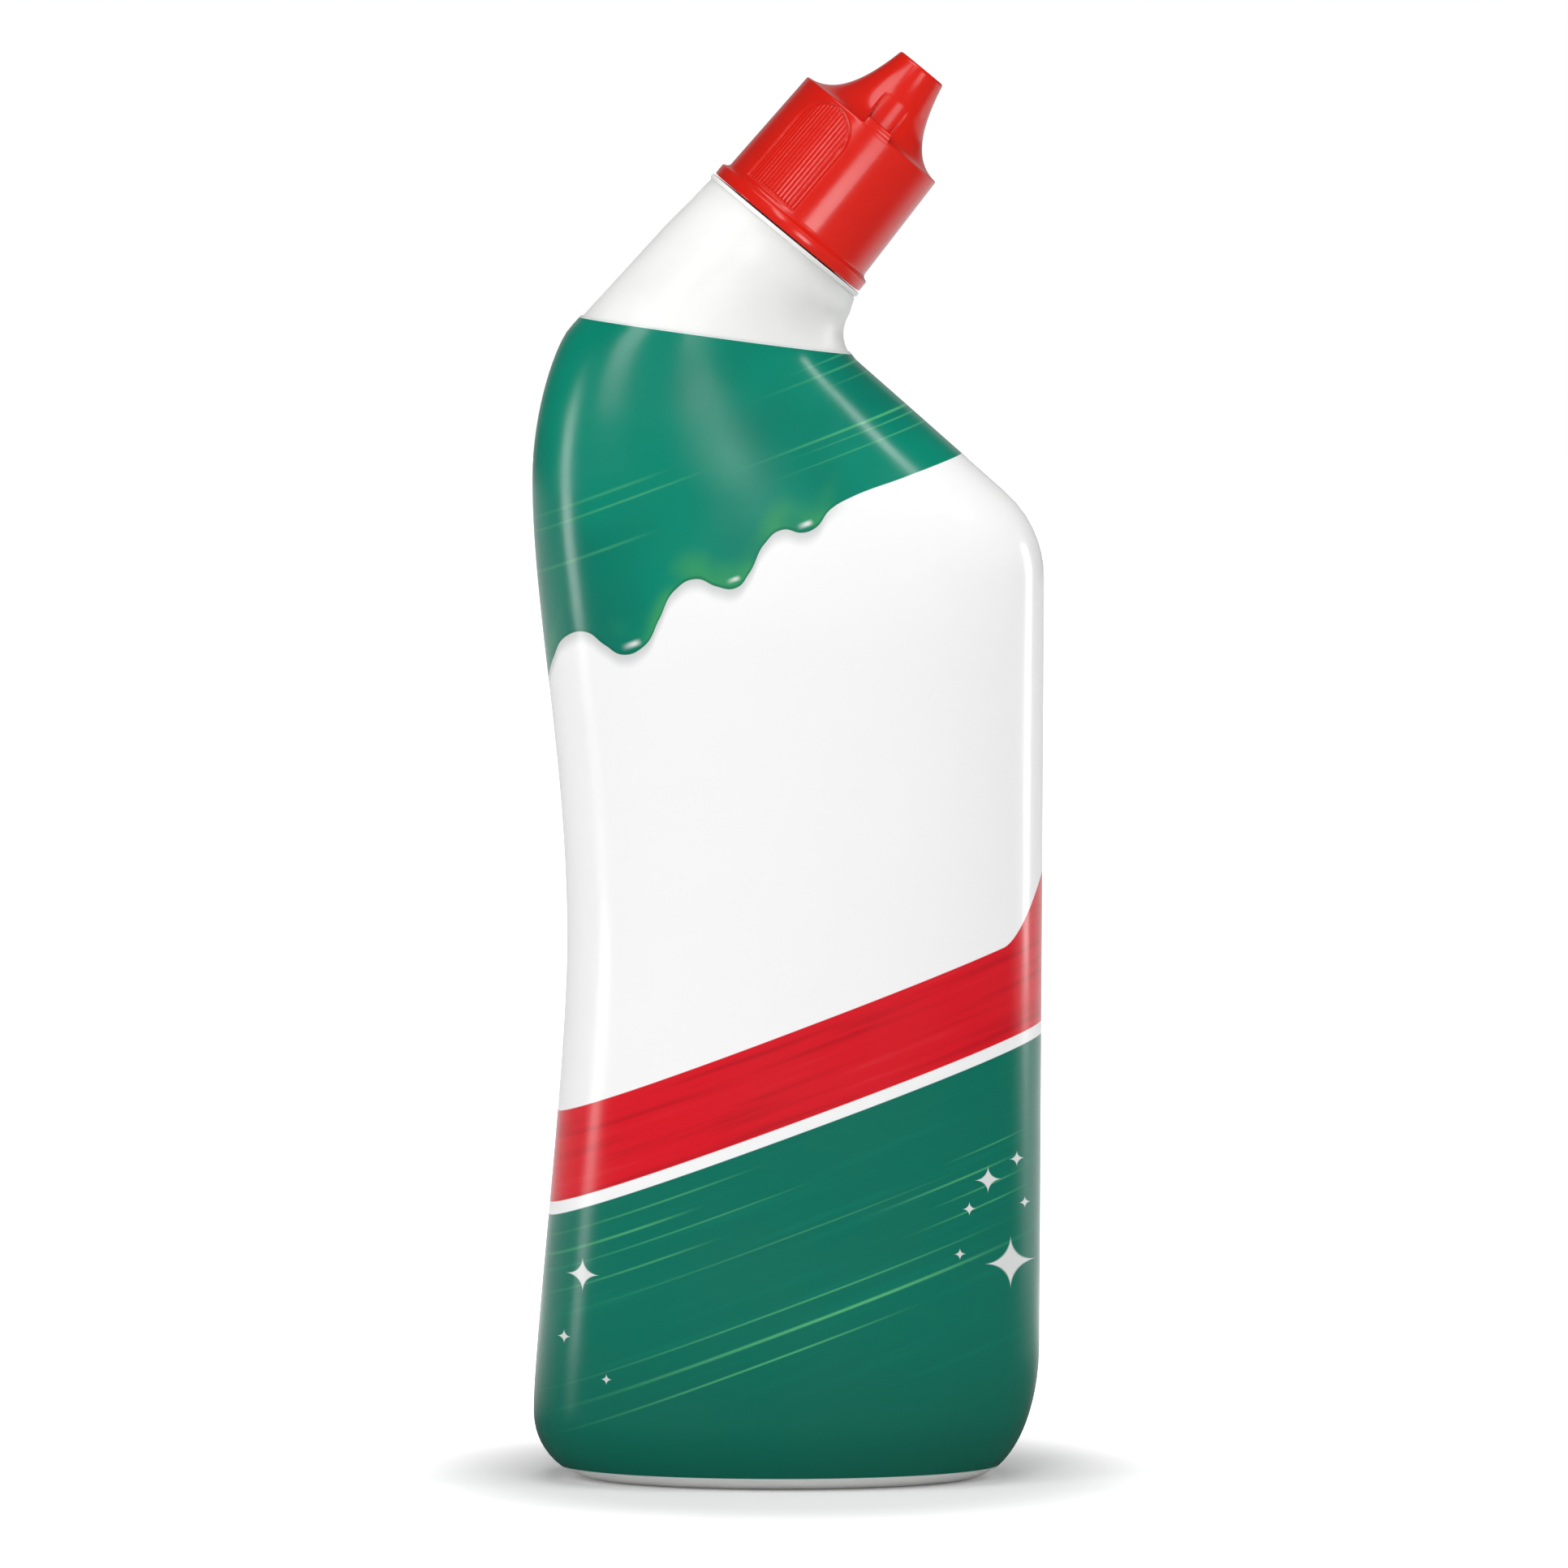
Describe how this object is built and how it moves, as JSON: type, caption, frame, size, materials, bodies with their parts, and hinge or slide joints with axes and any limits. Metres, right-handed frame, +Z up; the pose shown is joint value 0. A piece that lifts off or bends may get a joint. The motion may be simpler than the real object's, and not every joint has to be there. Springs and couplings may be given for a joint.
{
  "type": "toilet cleaner bottle",
  "caption": "Bent-neck squeeze bottle with a printed shrink sleeve, a press-in drip nozzle and a child-resistant screw cap that lifts off along the leaning neck.",
  "frame": {"origin": "middle of the footprint's bounding box, on the plane the foot stands on", "axes": "+Z up along the body, +X towards the side the neck and cap lean to, -Y out of the printed front"},
  "size_m": [0.0984, 0.0546, 0.275],
  "materials": {
    "bottle_plastic": "satin blown polyethylene, white",
    "sleeve_film": "glossy shrink film, printed green, white and red",
    "nozzle_plastic": "soft satin polyethylene, natural white",
    "cap_plastic": "glossy moulded polypropylene, red"
  },
  "bodies": {
    "bottle": {"bottle": "bottle_plastic", "shrink_sleeve": "sleeve_film", "nozzle": "nozzle_plastic"},
    "cap": {"cap": "cap_plastic"}
  },
  "joints": [
    {"name": "cap_lift", "type": "slide", "parent": "bottle", "child": "cap", "axis": [0.6361, 0, 0.7716], "range_m": [0, 0.05]}
  ]
}
